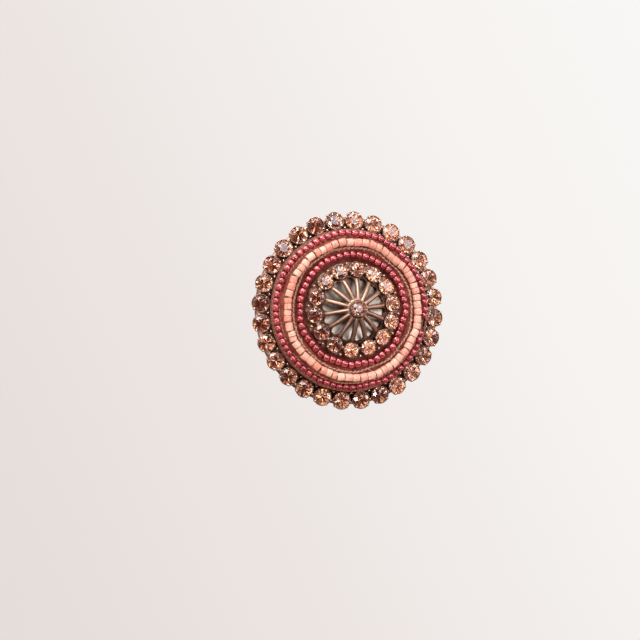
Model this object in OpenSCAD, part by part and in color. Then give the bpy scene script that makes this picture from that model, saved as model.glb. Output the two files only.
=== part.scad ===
// Round button earring: a domed rosette of cup-set stones and sewn bead rows on a flat back plate.
// Millimetres. The front faces -Y, +Z is up and the post runs along +Y from the origin.
// Every piece is first made face up, with its height measured forward from the back face,
// and is then turned to face the front.

/* [Back plate and post] */
// Thickness of the round back plate
plate_t = 0.6; // [0.4:0.1:0.8]
// Radius of the ear post
post_r = 0.45; // [0.4:0.05:0.6]
// Length of the ear post behind its pad
post_length = 10.5; // [8:0.5:12]
// Radius of the soldered pad of the post
post_pad_r = 2.6; // [2:0.1:4]
// Thickness of that pad
post_pad_t = 0.5; // [0.3:0.1:0.8]

/* [Padded bed] */
// Outer radius of the padded leather bed
bed_r = 14.45; // [14:0.05:16]
// Radius of the rounded crown of the bed, in section
crown_r = 2.65; // [2.5:0.05:2.9]
// Height of the middle of that crown
crown_h = 3.2; // [3:0.1:3.6]
// Height of the flat seat that carries the centre piece
seat_h = 5.2; // [5:0.1:5.4]

/* [Bead rows] */
// Diameter of the red seed beads
red_bead_d = 1.25; // [1.1:0.05:1.45]
// Diameter of the peach cylinder beads
peach_bead_d = 1.45; // [1.2:0.05:1.7]
// Gap between the beads and the leather they are sewn to
row_gap = 0.06; // [0.04:0.02:0.12]
// Place of the outer row on the crown, in degrees above the horizontal
outer_row_at = 33; // [28:0.5:36]
// Place of the middle row on the crown, in degrees
middle_row_at = 72.5; // [70:0.5:75]
// Place of the inner row on the crown, in degrees
inner_row_at = 114; // [112:0.5:116]

/* [Ring of large stones] */
// Number of large stones
outer_count = 28; // [24:1:28]
// Radius of a large stone at its girdle
outer_glass_r = 1.55; // [1.3:0.05:1.6]
// Height of a large cup
outer_cup_h = 1.8; // [1.7:0.1:2.2]
// Wall of a large cup at its rim
outer_cup_wall = 0.12; // [0.1:0.01:0.18]
// Gap between the bed and the foot of the cup ring
bed_gap = 0.35; // [0.15:0.05:0.4]
// How far the sheet under the large cups reaches past their middles
sheet_reach = 0.9; // [0.5:0.05:1.3]

/* [Ring of small stones] */
// Number of small stones and of petals
inner_count = 14; // [12:1:14]
// Radius of a small stone at its girdle
inner_glass_r = 1.325; // [1.1:0.025:1.35]
// Height of a small cup
inner_cup_h = 1.6; // [1.5:0.1:1.8]
// Wall of a small cup at its rim
inner_cup_wall = 0.1; // [0.08:0.01:0.14]
// Radius of the ring that the small cups stand on
inner_base_r = 7.28; // [7.1:0.02:7.5]
// Outer radius of the flat flange under the small cups
flange_r = 9; // [8.9:0.05:9.5]
// Radius of the bright disc behind the rosette
disc_r = 5.8; // [5.5:0.05:5.85]
// Thickness of that disc
disc_t = 0.25; // [0.2:0.05:0.3]

/* [Cups and claws] */
// Outward lean of both rings of cups, in degrees
lean = 12; // [8:1:20]
// Angle of the first stone of both rings, seen from the front, in degrees
first_angle = 85.9; // [0:0.1:90]
// Thickness of the sheet metal rings under the cups
sheet_t = 0.3; // [0.2:0.05:0.35]
// How much narrower a cup is at its base than at its rim
cup_taper = 0.2; // [0.1:0.05:0.3]
// Thickness of a cup floor
cup_floor = 0.2; // [0.15:0.05:0.3]
// Gap between a stone and its cup
glass_gap = 0.05; // [0.03:0.01:0.08]
// Radius of the claw beads on the large cups
outer_claw_r = 0.2; // [0.16:0.01:0.22]
// Radius of the claw beads on the small cups
inner_claw_r = 0.17; // [0.14:0.01:0.18]
// Radius of the bead on top of each pillar between two cups
pillar_bead_r = 0.25; // [0.2:0.01:0.28]
// Radius of those pillars
pillar_r = 0.16; // [0.12:0.01:0.18]

/* [Rosette] */
// Height of the top of the dome
dome_top_h = 9.7; // [9.6:0.1:10.2]
// How far the ends of the petals stand above the bright disc
petal_rise = 1; // [0.8:0.05:1.3]
// Thickness of the rosette sheet
rosette_t = 0.4; // [0.3:0.05:0.5]
// Gap between the ends of the petals and the small cups
petal_gap = 0.15; // [0.12:0.01:0.3]
// Radius of the round end of a pierced gap
gap_end_r = 0.75; // [0.5:0.05:0.8]
// Radius from the centre to the narrow end of a gap
gap_start_at = 2.45; // [2.4:0.05:2.8]
// Radius of the narrow end of a gap
gap_start_r = 0.12; // [0.1:0.01:0.15]
// Width of the metal round the end of a petal
petal_edge = 0.3; // [0.2:0.01:0.34]
// Radius of the raised rib along each spoke
rib_r = 0.26; // [0.2:0.01:0.3]
// Radius of the raised boss at the centre
hub_r = 2; // [1.8:0.05:2.2]
// Radius of the rivet that joins the rosette to the disc
rivet_r = 1; // [0.8:0.1:1.4]
// Radius of the centre stone at its girdle
centre_glass_r = 1.3; // [1:0.05:1.35]
// Height of the centre cup above the dome
centre_cup_rise = 0.75; // [0.7:0.05:1]
// Wall of the centre cup
centre_cup_wall = 0.12; // [0.1:0.01:0.2]

/* [Stone cut] */
// Width of the table as a share of the girdle
table_share = 0.54; // [0.5:0.02:0.65]
// Height of the crown as a share of the girdle radius
crown_share = 0.3; // [0.26:0.02:0.32]
// Depth of the pavilion as a share of the girdle radius
pavilion_share = 0.7; // [0.6:0.02:0.74]

/* [Hidden] */
$fn = 48;
facets = 8;
girdle_t = 0.06;
girdle_drop = 0.1;
solder = 0.1;
centre_claws = 6;
centre_claw_r = 0.16;
claw_inset = 0.04;
ring_lift = 0.42;
disc_gap = 0.1;
foot_w = 0.4;
boss_rise = 0.3;
centre_sink = 0.5;
side_share = 0.96;

outer_pocket_r = outer_glass_r + glass_gap;
outer_cup_r = outer_pocket_r + outer_cup_wall;
inner_pocket_r = inner_glass_r + glass_gap;
inner_cup_r = inner_pocket_r + inner_cup_wall;
centre_pocket_r = centre_glass_r + glass_gap;
centre_cup_r = centre_pocket_r + centre_cup_wall;

// The crown of the bed is a circle in section, and each bead row lies on it
crown_at = bed_r - crown_r;
function row_reach(bead_d) = crown_r + row_gap + bead_d / 2;
function row_r(at, bead_d) = crown_at + row_reach(bead_d) * cos(at);

// A row on the inner side of the crown also stays above the flat seat
function row_h(at, bead_d) =
    let(on_crown = crown_h + row_reach(bead_d) * sin(at))
    at > 90 ? max(on_crown, seat_h + row_gap + bead_d / 2) : on_crown;

// The foot of the outer ring stands just outside the bed, and its cups lean out over it
foot_r = bed_r + bed_gap;
outer_base_r = foot_r + foot_w + (outer_cup_r - cup_taper) * cos(lean);
sheet_drop = sheet_t / cos(lean);
outer_base_h = plate_t + ring_lift + sheet_drop;
plate_r = outer_base_r;
outer_edge_r = outer_base_r + sheet_reach;
outer_pillar_at = foot_r + foot_w + solder + pillar_bead_r;

// The inner ring stands on the flat seat of the bed
inner_edge_r = inner_base_r + (inner_cup_r - cup_taper) * cos(lean) + solder;
inner_base_h = seat_h + sheet_drop + (inner_edge_r - inner_base_r) * tan(lean);
recess_r = disc_r + disc_gap;
recess_h = inner_base_h + (inner_base_r - recess_r) * tan(lean) - sheet_t;
disc_top_h = recess_h + disc_t;
step_r = recess_r - foot_w - sheet_t;
inner_pillar_at = flange_r - pillar_bead_r;

petal_r = gap_end_r + petal_edge;

// The round end of each petal lies between two small cups, a gap away from both
cup_top_r = inner_base_r + inner_cup_h * sin(lean);
half_turn = 180 / inner_count;
petal_reach = petal_r + petal_gap + inner_cup_r;
petal_at = cup_top_r * cos(half_turn) - sqrt(pow(petal_reach, 2) - pow(cup_top_r * sin(half_turn), 2));
spoke_end_r = cup_top_r - inner_cup_r - petal_gap;

// The dome passes through its top and through the ends of the petals
petal_end_r = petal_at + petal_r;
dome_drop = dome_top_h - disc_top_h - petal_rise;
dome_r = (petal_end_r * petal_end_r + dome_drop * dome_drop) / (2 * dome_drop);
dome_centre_h = dome_top_h - dome_r;
centre_base_h = dome_top_h - centre_sink;
centre_cup_h = centre_cup_rise + centre_sink;

function dome_h(r) = dome_centre_h + sqrt(dome_r * dome_r - r * r);
function dome_angle(r) = asin(r / dome_r);

// Height of a leaning sheet at radius r, through height h at radius at_r
function lean_h(r, at_r, h) = h + (at_r - r) * tan(lean);

function two_digits(i) = str(i < 10 ? "0" : "", i);
OUTER_STONES = [for (i = [1:outer_count]) str("outer_stone_", two_digits(i))];
INNER_STONES = [for (i = [1:inner_count]) str("inner_stone_", two_digits(i))];

// Turns a piece made face up so that its face looks along -Y
module facing() {
    rotate([90, 0, 0]) children();
}

// Places a child at one of count even places of a ring, leaning outward
module on_ring(i, count, r, h) {
    rotate([0, 0, first_angle + (i - 1) * 360 / count])
        translate([r, 0, h])
            rotate([0, lean, 0])
                children();
}

// Points of one ring of a cut stone, turned by a share of a step
function cut_ring(count, r, z, turn) =
    [for (i = [0:count - 1]) [r * cos((i + turn) * 360 / count), r * sin((i + turn) * 360 / count), z]];

// A round brilliant with its girdle at height 0: an eight-sided table, stars, kites, upper
// girdle facets, a thin girdle and a pointed pavilion
module brilliant(r) {
    table_r = table_share * r;
    table_z = girdle_t / 2 + crown_share * r;
    half_step = 180 / facets;
    star_r = (table_r * cos(half_step) + r) / 2;
    star_run = (star_r * cos(half_step) - table_r) / (r - table_r);
    star_z = table_z - star_run * crown_share * r;
    many = 2 * facets;
    points = concat(
        cut_ring(facets, table_r, table_z, 0),
        cut_ring(facets, star_r, star_z, 0.5),
        cut_ring(many, r, girdle_t / 2, 0),
        cut_ring(many, r, -girdle_t / 2, 0),
        [[0, 0, -girdle_t / 2 - pavilion_share * r]]
    );
    star = facets;
    top = 2 * facets;
    low = top + many;
    tip = low + many;
    table = [[for (i = [facets - 1:-1:0]) i]];
    stars = [for (i = [0:facets - 1]) [i, (i + 1) % facets, star + i]];
    kites_left = [for (i = [0:facets - 1]) [i, top + 2 * i, star + (i + facets - 1) % facets]];
    kites_right = [for (i = [0:facets - 1]) [i, star + i, top + 2 * i]];
    uppers_left = [for (i = [0:facets - 1]) [top + 2 * i, star + i, top + 2 * i + 1]];
    uppers_right = [for (i = [0:facets - 1]) [top + 2 * i + 1, star + i, top + (2 * i + 2) % many]];
    edge_top = [for (i = [0:many - 1]) [top + i, top + (i + 1) % many, low + (i + 1) % many]];
    edge_low = [for (i = [0:many - 1]) [top + i, low + (i + 1) % many, low + i]];
    pavilion = [for (i = [0:many - 1]) [low + i, low + (i + 1) % many, tip]];
    polyhedron(points, concat(
        table, stars, kites_left, kites_right, uppers_left, uppers_right, edge_top, edge_low, pavilion
    ));
}

// The outside of a tapered cup with claw beads at its rim, sunk a little into what it is soldered to
module cup_body(rim_r, h, claws, claw_r) {
    slope = cup_taper / h;
    translate([0, 0, -solder])
        cylinder(h = h + solder, r1 = rim_r - cup_taper - slope * solder, r2 = rim_r);
    for (k = [0:claws - 1])
        rotate([0, 0, (k + 0.5) * 360 / claws])
            translate([rim_r - claw_inset, 0, h - girdle_drop + claw_r])
                sphere(r = claw_r);
}

// The tapered hollow of a cup, above its floor
module cup_pocket(pocket_r, h) {
    slope = cup_taper / h;
    translate([0, 0, cup_floor])
        cylinder(h = h - cup_floor, r1 = pocket_r - cup_taper + slope * cup_floor, r2 = pocket_r);
    translate([0, 0, h]) cylinder(h = girdle_drop, r = pocket_r);
}

module cup(rim_r, pocket_r, h, claws, claw_r) {
    difference() {
        cup_body(rim_r, h, claws, claw_r);
        cup_pocket(pocket_r, h);
    }
}

module base_plate() color("silver") facing() {
    rotate_extrude() {
        square([plate_r - plate_t / 2, plate_t]);
        translate([plate_r - plate_t / 2, plate_t / 2]) circle(d = plate_t);
    }
}

// The pad lies against the back of the plate, and the post ends in a round tip
module ear_post() color("silver") facing() {
    translate([0, 0, -post_pad_t]) cylinder(h = post_pad_t, r = post_pad_r);
    translate([0, 0, -post_pad_t - post_length]) cylinder(h = post_length, r = post_r);
    translate([0, 0, -post_pad_t - post_length]) sphere(r = post_r);
}

module bead_bed() color("#5a2c24") facing() {
    rotate_extrude()
        intersection() {
            union() {
                square([crown_at, seat_h]);
                translate([crown_at, 0]) square([crown_r, crown_h]);
                translate([crown_at, crown_h]) circle(r = crown_r);
            }
            translate([0, plate_t]) square([bed_r, crown_h + crown_r]);
        }
}

module bead_row(at, bead_d) {
    rotate_extrude()
        translate([row_r(at, bead_d), row_h(at, bead_d)])
            circle(d = bead_d);
}

module outer_bead_row() color("#b02a40") facing() bead_row(outer_row_at, red_bead_d);

module middle_bead_row() color("#f3b091") facing() bead_row(middle_row_at, peach_bead_d);

module inner_bead_row() color("#b02a40") facing() bead_row(inner_row_at, red_bead_d);

// A conical sheet ring on an upright foot that stands on the back plate
module outer_ring() {
    foot_out_r = foot_r + foot_w;
    rotate_extrude()
        polygon([
            [foot_r, plate_t],
            [foot_r, lean_h(foot_r, outer_base_r, outer_base_h)],
            [outer_edge_r, lean_h(outer_edge_r, outer_base_r, outer_base_h)],
            [outer_edge_r, lean_h(outer_edge_r, outer_base_r, outer_base_h) - sheet_drop],
            [foot_out_r, lean_h(foot_out_r, outer_base_r, outer_base_h) - sheet_drop],
            [foot_out_r, plate_t]
        ]);
}

// Upright pillars with a bead on top, halfway between the cups of a ring
module pillars(count, at, base_r, base_h, cup_h) {
    foot_h = lean_h(at, base_r, base_h);
    for (i = [1:count])
        rotate([0, 0, first_angle + (i - 0.5) * 360 / count])
            translate([at, 0, foot_h - solder]) {
                cylinder(h = cup_h + solder - pillar_bead_r, r = pillar_r);
                translate([0, 0, cup_h + solder - pillar_bead_r]) sphere(r = pillar_bead_r);
            }
}

module outer_setting() color("#8c6a54") facing() {
    outer_ring();
    pillars(outer_count, outer_pillar_at, outer_base_r, outer_base_h, outer_cup_h);
    for (i = [1:outer_count])
        on_ring(i, outer_count, outer_base_r, outer_base_h)
            cup(outer_cup_r, outer_pocket_r, outer_cup_h, 4, outer_claw_r);
}

// A conical sheet ring with a flat flange outside it, and a step inside it for the disc
module inner_ring() {
    slope_in_r = recess_r + sheet_t;
    rotate_extrude()
        polygon([
            [step_r, seat_h],
            [step_r, recess_h],
            [recess_r, recess_h],
            [recess_r, lean_h(recess_r, inner_base_r, inner_base_h)],
            [inner_edge_r, seat_h + sheet_drop],
            [flange_r, seat_h + sheet_drop],
            [flange_r, seat_h],
            [inner_edge_r - sheet_t, seat_h],
            [inner_edge_r - sheet_t, lean_h(inner_edge_r - sheet_t, inner_base_r, inner_base_h) - sheet_drop],
            [slope_in_r, lean_h(slope_in_r, inner_base_r, inner_base_h) - sheet_drop],
            [slope_in_r, recess_h - sheet_t],
            [step_r + foot_w, recess_h - sheet_t],
            [step_r + foot_w, seat_h]
        ]);
}

module inner_setting() color("#8c6a54") facing() {
    inner_ring();
    pillars(inner_count, inner_pillar_at, inner_base_r, inner_base_h, inner_cup_h);
    for (i = [1:inner_count])
        on_ring(i, inner_count, inner_base_r, inner_base_h)
            cup(inner_cup_r, inner_pocket_r, inner_cup_h, 4, inner_claw_r);
}

module outer_stone(i) color("#d79a68") facing() {
    on_ring(i, outer_count, outer_base_r, outer_base_h)
        translate([0, 0, outer_cup_h - girdle_drop])
            brilliant(outer_glass_r);
}

module inner_stone(i) color("#d79a68") facing() {
    on_ring(i, inner_count, inner_base_r, inner_base_h)
        translate([0, 0, inner_cup_h - girdle_drop])
            brilliant(inner_glass_r);
}

module centre_stone() color("#d79a68") facing() {
    translate([0, 0, centre_base_h + centre_cup_h - girdle_drop])
        brilliant(centre_glass_r);
}

module rosette_plate() color("gainsboro") facing() {
    translate([0, 0, recess_h]) cylinder(h = disc_t, r = disc_r);
}

// The teardrop that is cut through between two spokes, lying along +X. Its straight sides
// run into both round ends a little inside their widest places.
module gap_outline() {
    start_at = gap_start_at + gap_start_r;
    start_w = side_share * gap_start_r;
    end_w = side_share * gap_end_r;
    translate([start_at, 0]) circle(r = gap_start_r);
    translate([petal_at, 0]) circle(r = gap_end_r);
    polygon([[start_at, start_w], [petal_at, end_w], [petal_at, -end_w], [start_at, -start_w]]);
}

module at_each_petal(turn) {
    for (i = [1:inner_count])
        rotate([0, 0, first_angle + (i - 1 + turn) * 360 / inner_count])
            children();
}

module rosette_sheet() {
    difference() {
        intersection() {
            translate([0, 0, dome_centre_h])
                difference() {
                    sphere(r = dome_r);
                    sphere(r = dome_r - rosette_t);
                }
            translate([0, 0, disc_top_h])
                linear_extrude(dome_r) {
                    circle(r = spoke_end_r);
                    at_each_petal(0.5) translate([petal_at, 0]) circle(r = petal_r);
                }
        }
        translate([0, 0, disc_top_h])
            linear_extrude(dome_r)
                at_each_petal(0.5) gap_outline();
    }
}

// A round rib that follows the dome from the hub to the end of a spoke
module spoke_rib() {
    from = dome_angle(hub_r - rib_r);
    to = dome_angle(spoke_end_r - rib_r);
    translate([0, 0, dome_centre_h])
        rotate([90, 0, 0])
            rotate([0, 0, 90 - to])
                rotate_extrude(angle = to - from)
                    translate([dome_r, 0])
                        circle(r = rib_r);
}

// The boss, the rivet down to the disc and the centre cup
module rosette_middle() {
    boss_h = dome_h(hub_r) - rosette_t;
    translate([0, 0, boss_h])
        cylinder(h = dome_top_h + boss_rise - boss_h, r1 = hub_r, r2 = centre_cup_r);
    translate([0, 0, centre_base_h])
        cup_body(centre_cup_r, centre_cup_h, centre_claws, centre_claw_r);
    translate([0, 0, disc_top_h])
        cylinder(h = centre_base_h - disc_top_h, r = rivet_r);
}

module rosette() color("#a98370") facing() {
    difference() {
        union() {
            rosette_sheet();
            at_each_petal(0) spoke_rib();
            rosette_middle();
        }
        translate([0, 0, centre_base_h]) cup_pocket(centre_pocket_r, centre_cup_h);
    }
}

base_plate();
ear_post();
bead_bed();
outer_bead_row();
middle_bead_row();
inner_bead_row();
outer_setting();
inner_setting();
rosette_plate();
rosette();
centre_stone();
for (i = [1:outer_count])
    outer_stone(i);
for (i = [1:inner_count])
    inner_stone(i);
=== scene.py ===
# %% [markdown]
# # A round button earring
#
# The earring is about 37 mm across. A ring of 28 cup-set stones runs round the outside, three
# rows of glass beads are sewn on a padded leather bed inside it, and a ring of 14 smaller cups
# holds a pierced, domed rosette with one stone in its middle. A flat plate and a post are behind.
#
# The construction comes in as a fixed frame. This lesson gives every piece its real surface:
# some pieces keep the frame's solid and get a finish, and the others are modelled again, in the
# same place and size, with the detail that a simple solid leaves out.

# %% Load the frame
import math
import random

import bmesh
import bpy
import numpy as np
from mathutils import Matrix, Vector, noise


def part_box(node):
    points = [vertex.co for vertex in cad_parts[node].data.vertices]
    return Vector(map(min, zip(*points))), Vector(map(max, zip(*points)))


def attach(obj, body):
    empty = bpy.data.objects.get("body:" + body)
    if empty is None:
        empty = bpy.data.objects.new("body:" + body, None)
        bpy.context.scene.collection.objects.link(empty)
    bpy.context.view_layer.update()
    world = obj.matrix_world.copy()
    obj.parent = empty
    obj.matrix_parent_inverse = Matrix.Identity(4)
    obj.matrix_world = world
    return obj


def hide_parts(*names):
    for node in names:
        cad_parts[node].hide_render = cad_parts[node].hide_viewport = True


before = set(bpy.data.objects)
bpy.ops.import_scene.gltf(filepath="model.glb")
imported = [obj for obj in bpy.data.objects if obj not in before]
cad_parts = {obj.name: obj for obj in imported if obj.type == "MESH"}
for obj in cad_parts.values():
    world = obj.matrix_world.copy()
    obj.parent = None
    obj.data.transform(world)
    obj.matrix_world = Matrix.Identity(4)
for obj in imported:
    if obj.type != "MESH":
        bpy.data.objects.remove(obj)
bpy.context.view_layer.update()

MM = 0.001


def put_in_scene(thing):
    bpy.context.scene.collection.objects.link(thing)
    return thing


# %% [markdown]
# ## Camera
#
# The camera comes first, because the size of the smallest detail worth modelling depends on it.
# The earring is seen from a little to the left of straight ahead and a little from below. A long
# lens stands far off, so the near dome doesn't swell. The picture is square, and the earring
# sits a little to the right of its middle and above it.

# %% Camera
PHOTO_SIDE = 640
PIXELS_PER_MM = 5.3
ORIGIN_PIXEL = (343.6, 311.0)
CAMERA_AZIMUTH = math.radians(-15.5)
CAMERA_ELEVATION = math.radians(-2.0)
CAMERA_DISTANCE = 0.9
SENSOR_WIDTH = 36.0

to_camera = Vector((
    math.sin(CAMERA_AZIMUTH) * math.cos(CAMERA_ELEVATION),
    -math.cos(CAMERA_AZIMUTH) * math.cos(CAMERA_ELEVATION),
    math.sin(CAMERA_ELEVATION),
))
picture_right = Vector((math.cos(CAMERA_AZIMUTH), math.sin(CAMERA_AZIMUTH), 0))
picture_up = to_camera.cross(picture_right)
right_of_origin = (PHOTO_SIDE / 2 - ORIGIN_PIXEL[0]) / PIXELS_PER_MM * MM
above_origin = (ORIGIN_PIXEL[1] - PHOTO_SIDE / 2) / PIXELS_PER_MM * MM
aim = picture_right * right_of_origin + picture_up * above_origin

camera_data = bpy.data.cameras.new("camera")
camera_data.sensor_width = SENSOR_WIDTH
camera_data.lens = SENSOR_WIDTH * CAMERA_DISTANCE / (PHOTO_SIDE / PIXELS_PER_MM * MM)
camera_data.clip_start = 0.01
camera = put_in_scene(bpy.data.objects.new("camera", camera_data))
camera.rotation_mode = "QUATERNION"
camera.location = aim + to_camera * CAMERA_DISTANCE
camera.rotation_quaternion = (-to_camera).to_track_quat("-Z", "Y")
bpy.context.scene.camera = camera
print("lens in mm:", round(camera_data.lens, 1))

# %% [markdown]
# ## Shader maths
#
# A finish is a small program of nodes. They could be placed by hand in the editor, but written
# as Python expressions the recipe stays readable and can be used again: the class `Wire` wraps a
# node's output, and adding, subtracting or multiplying wires makes the Math nodes.

# %% Wires
class Wire:
    """An output socket of a finish, which makes a Math node for each operator."""

    def __init__(self, finish, socket):
        self.finish = finish
        self.socket = socket

    def maths(self, operation, first, second):
        return self.finish.node("Math", {"operation": operation}, {0: first, 1: second})

    def __add__(self, other):
        return self.maths("ADD", self, other)

    def __radd__(self, other):
        return self.maths("ADD", other, self)

    def __sub__(self, other):
        return self.maths("SUBTRACT", self, other)

    def __rsub__(self, other):
        return self.maths("SUBTRACT", other, self)

    def __mul__(self, other):
        return self.maths("MULTIPLY", self, other)

    def step(self, low, high):
        """0 below low, 1 above high and smooth between."""
        inputs = {"Value": self, "From Min": low, "From Max": high}
        return self.finish.node("MapRange", {"interpolation_type": "SMOOTHSTEP"}, inputs)


class Nodes:
    """Makes nodes in one node tree."""

    def __init__(self, tree):
        self.tree = tree

    def node(self, kind, settings=None, inputs=None, output=0):
        made = self.tree.nodes.new("ShaderNode" + kind)
        for name, value in (settings or {}).items():
            setattr(made, name, value)
        for name, value in (inputs or {}).items():
            self.feed(made.inputs[name], value)
        return Wire(self, made.outputs[output])

    def feed(self, socket, value):
        if isinstance(value, Wire):
            self.tree.links.new(value.socket, socket)
        else:
            socket.default_value = value

    def mix(self, share, first, second):
        """Goes from one colour to another as share goes from 0 to 1."""
        return self.node("Mix", {"data_type": "RGBA"}, {0: share, 6: first, 7: second}, output=2)


# %% [markdown]
# `Finish` makes one material. Blender's main shader has an input for each thing that a surface
# does, and `drive` sets them by name. The patterns are noise, placed in millimetres, so a
# scratch or a grain has its real size on every piece. `mark` reads a number that the mesh
# carries at each point, such as how worn it is there.

# %% Finishes
class Finish(Nodes):
    """A material with its main shader. Sizes of patterns are in millimetres."""

    def __init__(self, name, **fixed):
        self.material = bpy.data.materials.new(name)
        self.material.use_nodes = True
        super().__init__(self.material.node_tree)
        self.shader = self.tree.nodes["Principled BSDF"]
        self.drive(**fixed)
        place = self.node("TexCoord", output="Object")
        self.place = self.node("VectorMath", {"operation": "SCALE"}, {0: place, "Scale": 1 / MM})

    def drive(self, **sockets):
        """Sets or links inputs of the main shader: base_color is its Base Color."""
        for name, value in sockets.items():
            title = " ".join(word if word == "IOR" else word.capitalize() for word in name.split("_"))
            self.feed(self.shader.inputs[title], value)

    def cloud(self, size, detail=3.0, rough=0.55, place=None):
        """Soft noise from 0 to 1 whose lumps are about size mm wide."""
        inputs = {"Vector": place or self.place, "Scale": 1 / size, "Detail": detail, "Roughness": rough}
        return self.node("TexNoise", {}, inputs)

    def cells(self, size):
        """Distance to the middle of the nearest random cell."""
        return self.node("TexVoronoi", {}, {"Vector": self.place, "Scale": 1 / size})

    def mark(self, name):
        """A number that the mesh carries at each point or face."""
        return self.node("Attribute", {"attribute_name": name}, output="Fac")

    def bump(self, height, depth):
        """Small relief: height from 0 to 1, depth in mm."""
        inputs = {"Height": height, "Distance": depth * MM, "Strength": 1.0}
        self.drive(normal=self.node("Bump", {}, inputs))


def count_nodes(*finishes):
    for finish in finishes:
        print(finish.material.name, "is made of", len(finish.tree.nodes), "nodes")


# %% Colours
def rgb(red, green, blue):
    """A colour from its 0 to 255 screen values."""
    def linear(v):
        v /= 255
        return v / 12.92 if v <= 0.04045 else ((v + 0.055) / 1.055) ** 2.4
    return (linear(red), linear(green), linear(blue), 1.0)


print("a screen grey of 128 is", round(rgb(128, 128, 128)[0], 3), "of the light of white")

# %% [markdown]
# ## Light
#
# Small shiny things show the room more than they show light, so the room is designed first. The
# earring is lit as on a bright table by a window: grey-white walls all round, a brighter
# ceiling, a darker floor, and a dark patch in front where the camera stands. Each bead and cup
# mirrors that dark patch in its middle and the bright room round its edge, which is what makes
# lustre beads look round. A photograph of a room could light it too, but a room made of three
# smooth steps can be changed by a single number.
#
# The backdrop that the camera sees is separate: it is pale, whiter on the right and a little
# pink and darker at the lower left, where it carries a painted shade.

# %% World
ROOM_WHITE = rgb(188, 176, 172)
ROOM_DARK = rgb(92, 64, 58)
ROOM_FLOOR = rgb(132, 108, 100)
ROOM_CEILING = (1.5, 1.45, 1.4, 1.0)
BACKDROP_WHITE = rgb(249, 247, 245)
BACKDROP_PINK_SHADE = rgb(230, 221, 218)
ROOM_STRENGTH = 0.85
BACKDROP_SPREAD = 7.0

world = bpy.data.worlds.new("studio")
world.use_nodes = True
bpy.context.scene.world = world
room = Nodes(world.node_tree)
direction = room.node("TexCoord", output="Generated")


def along(axis):
    """How far a direction of the room points along an axis, from -1 to 1."""
    inputs = {0: direction, 1: tuple(axis)}
    return room.node("VectorMath", {"operation": "DOT_PRODUCT"}, inputs, output="Value")


DARK_EDGE, DARK_MIDDLE = math.radians(62), math.radians(24)
toward_front = along(to_camera).step(math.cos(DARK_EDGE), math.cos(DARK_MIDDLE))
toward_floor = (0 - along((0, 0, 1))).step(-0.1, 0.8)
toward_ceiling = along((-0.35, 0.1, 0.93)).step(0.45, 0.8)
room_colour = room.mix(toward_floor, ROOM_WHITE, ROOM_FLOOR)
room_colour = room.mix(toward_ceiling, room_colour, ROOM_CEILING)
room_colour = room.mix(toward_front, room_colour, ROOM_DARK)
room_light = room.node("Background", {}, {"Color": room_colour, "Strength": ROOM_STRENGTH})
# Painted shade on the backdrop: it turns darker and pinker toward the lower left.
toward_lower_left = (0 - along(picture_right) - along(picture_up) * 0.5) * BACKDROP_SPREAD + 0.5
backdrop_colour = room.mix(toward_lower_left.step(-0.3, 1.3), BACKDROP_WHITE, BACKDROP_PINK_SHADE)
backdrop = room.node("Background", {}, {"Color": backdrop_colour, "Strength": 1.0})
seen = room.node("LightPath", output="Is Camera Ray")
both = room.node("MixShader", {}, {0: seen, 1: room_light, 2: backdrop})
world_output = next(n for n in world.node_tree.nodes if n.type == "OUTPUT_WORLD")
room.feed(world_output.inputs["Surface"], both)
print("world nodes:", len(world.node_tree.nodes))

# %% [markdown]
# The room alone gives soft, flat light. Four area lamps give it a direction: a large warm window
# high on the left, a cooler one in front that the stones' flat tables mirror as a pale lilac
# patch, and two small weak ones at the side and low down, so that the shadow side isn't dead.
# A paper floor lies below, out of the picture. It sends soft light up and the glass sees it,
# but mirrors don't, or all the metal would turn beige.

# %% Lamps
def soft_lamp(name, place, size, watts, colour):
    """A soft light with a width and a height in metres, turned to the earring."""
    data = bpy.data.lights.new(name, "AREA")
    data.shape = "RECTANGLE"
    data.size, data.size_y = size
    data.energy = watts
    data.color = colour
    lamp = put_in_scene(bpy.data.objects.new(name, data))
    lamp.location = place
    lamp.rotation_mode = "QUATERNION"
    lamp.rotation_quaternion = (-Vector(place)).to_track_quat("-Z", "Y")
    print(name, "stands", round(Vector(place).length, 2), "m away and gives", watts, "W")


soft_lamp("window_lamp", (-0.2, -0.32, 0.48), (0.40, 0.36), 3.0, (1.0, 0.96, 0.91))
soft_lamp("front_lamp", (0.134, -0.467, 0.125), (0.32, 0.22), 0.8, (0.94, 0.92, 1.0))
soft_lamp("side_lamp", (0.40, -0.16, 0.08), (0.14, 0.14), 0.3, (1.0, 0.93, 0.9))
soft_lamp("low_lamp", (-0.30, -0.28, -0.07), (0.12, 0.04), 0.28, (1.0, 0.92, 0.88))

# %% Floor
FLOOR_Z = -0.1
FLOOR_R = 0.7
floor_mesh = bpy.data.meshes.new("floor")
shape = bmesh.new()
bmesh.ops.create_circle(shape, cap_ends=True, segments=96, radius=FLOOR_R)
shape.to_mesh(floor_mesh)
shape.free()
floor = put_in_scene(bpy.data.objects.new("floor", floor_mesh))
floor.location.z = FLOOR_Z
floor.visible_glossy = False
floor_finish = Finish("floor_paper", roughness=0.8)
paper = floor_finish.mix(floor_finish.cloud(60), rgb(198, 186, 180), rgb(210, 198, 192))
floor_finish.drive(base_color=paper)
floor_mesh.materials.append(floor_finish.material)
count_nodes(floor_finish)
print("floor", FLOOR_R * 2, "m across,", -FLOOR_Z, "m below the earring's middle")

# %% [markdown]
# In a cut stone the light is thrown from facet to facet many times before it comes out again.
# A renderer gives up after a few of these bounces and leaves black spots, so it is allowed more
# of them here. The plain view transform keeps the pale backdrop and the reds as they were set.

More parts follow.
